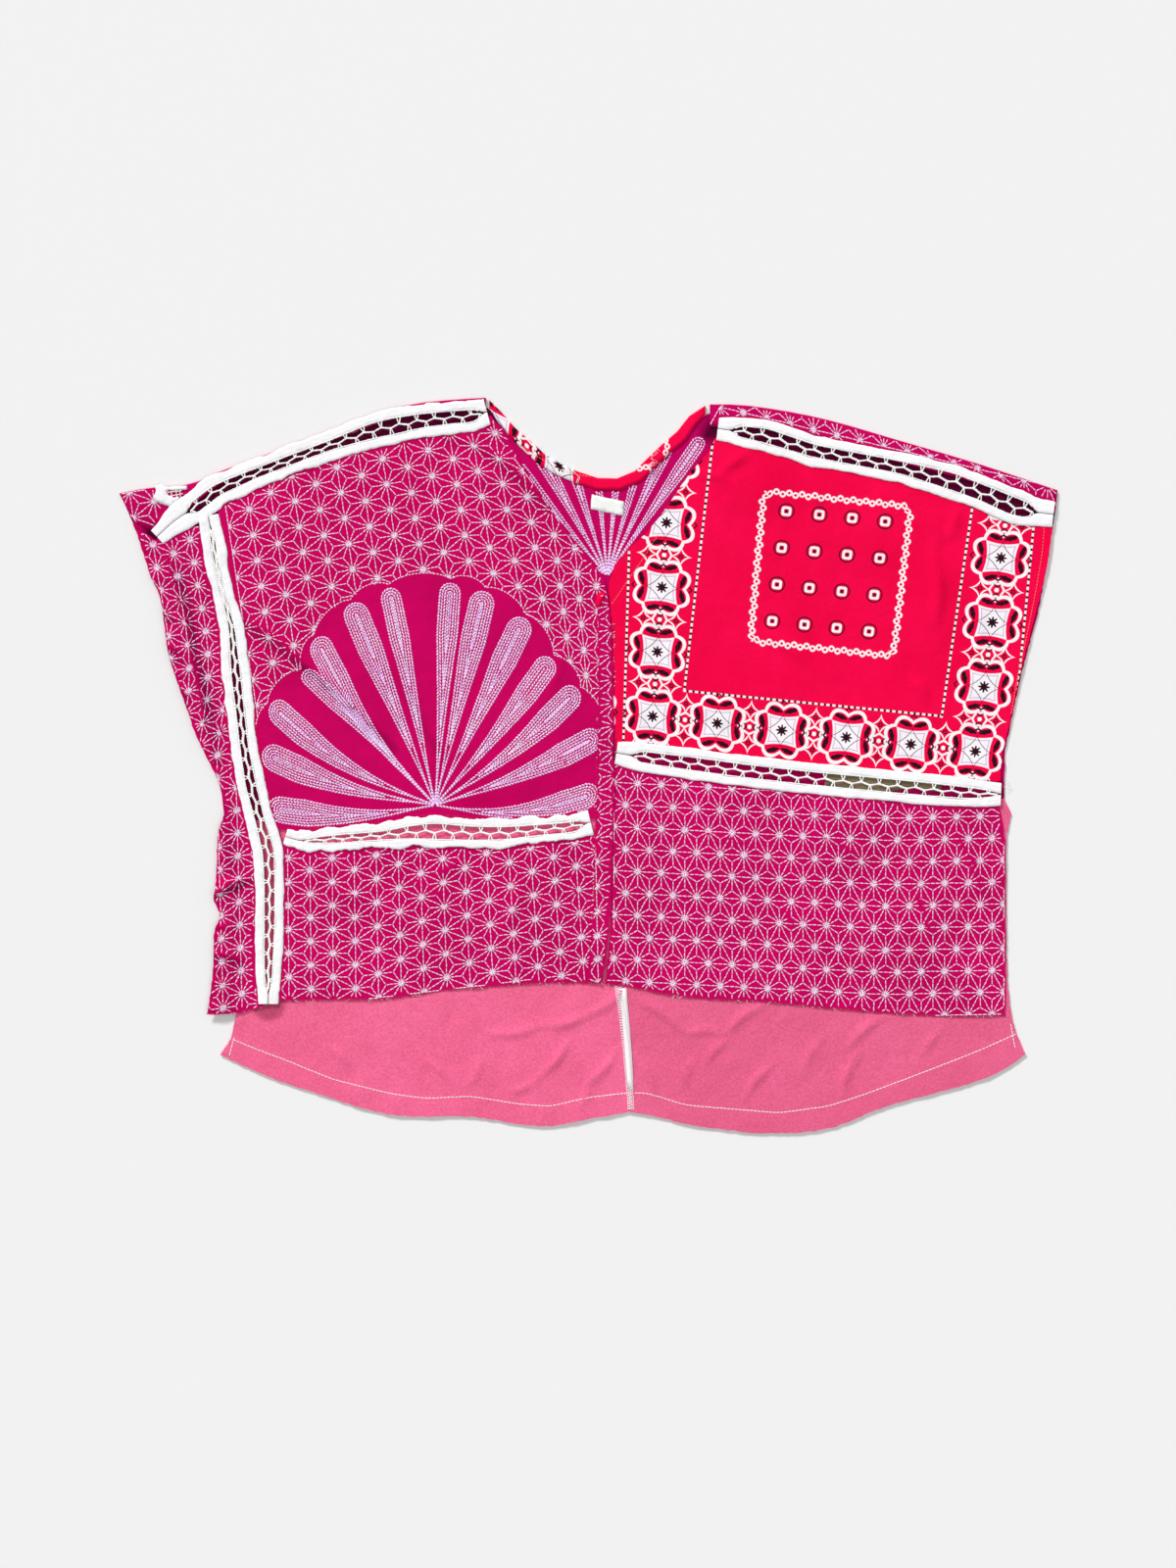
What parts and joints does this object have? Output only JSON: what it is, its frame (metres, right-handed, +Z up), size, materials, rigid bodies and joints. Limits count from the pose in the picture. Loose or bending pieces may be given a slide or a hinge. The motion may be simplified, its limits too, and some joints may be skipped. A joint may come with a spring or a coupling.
{
  "type": "patchwork top",
  "caption": "Oversized patchwork pullover top laid flat: star-stitched magenta cloth, red bandana panel, fan panel and white tape lace.",
  "frame": {"origin": "centre of the bounding box's bottom face, on the surface that the top lies on", "axes": "+X towards the garment's shown right shoulder, across its width; +Y towards the neck; +Z up off the surface"},
  "size_m": [0.842, 0.66, 0.006],
  "materials": {
    "star_cloth": "matte plain-weave cotton",
    "fan_cloth": "matte plain-weave cotton",
    "bandana_cloth": "matte printed cotton",
    "pink_cloth": "matte reverse of dyed cotton",
    "lace_thread": "matte cotton thread",
    "label_tape": "smooth woven tape"
  },
  "bodies": {
    "root": {"back_upper": "star_cloth", "back_lower_left": "pink_cloth", "back_lower_right": "pink_cloth", "back_seam_edge": "lace_thread", "yoke_left": "star_cloth", "yoke_right": "star_cloth", "neck_binding": "bandana_cloth", "front_left_fan": "fan_cloth", "front_left_band": "star_cloth", "front_left_side": "star_cloth", "front_centre_strip": "star_cloth", "front_right_bandana": "bandana_cloth", "front_right_band": "star_cloth", "label": "label_tape", "lace_end": "lace_thread", "lace_left_shoulder": "lace_thread", "lace_left_side": "lace_thread", "lace_under_fan": "lace_thread", "lace_right_shoulder": "lace_thread", "lace_under_bandana": "lace_thread"}
  },
  "joints": []
}
